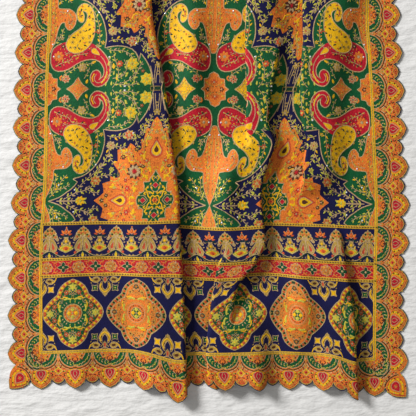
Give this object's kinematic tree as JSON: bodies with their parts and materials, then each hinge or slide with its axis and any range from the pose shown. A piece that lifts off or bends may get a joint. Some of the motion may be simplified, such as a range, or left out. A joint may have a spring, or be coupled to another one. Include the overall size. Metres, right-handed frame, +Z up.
{
  "type": "embroidered dupatta",
  "caption": "Long flat cloth with scalloped borders, banded ends and a patterned field, laid out in lengthwise knife pleats.",
  "frame": {"origin": "middle of the laid cloth across and along, on the surface that it lies on", "axes": "+Z up from the surface, +Y along the cloth from the near end to the far end, +X across it"},
  "size_m": [0.7935, 2.5417, 0.0286],
  "materials": {
    "patterned": "soft sheen",
    "navy": "soft sheen",
    "red": "soft sheen",
    "orange": "soft sheen"
  },
  "bodies": {
    "root": {"field": "patterned", "near_buta_band": "navy", "near_red_band": "red", "near_medallion_band": "navy", "near_border": "orange", "left_border": "orange", "right_border": "orange", "far_buta_band": "navy", "far_red_band": "red", "far_medallion_band": "navy", "far_border": "orange"}
  },
  "joints": []
}
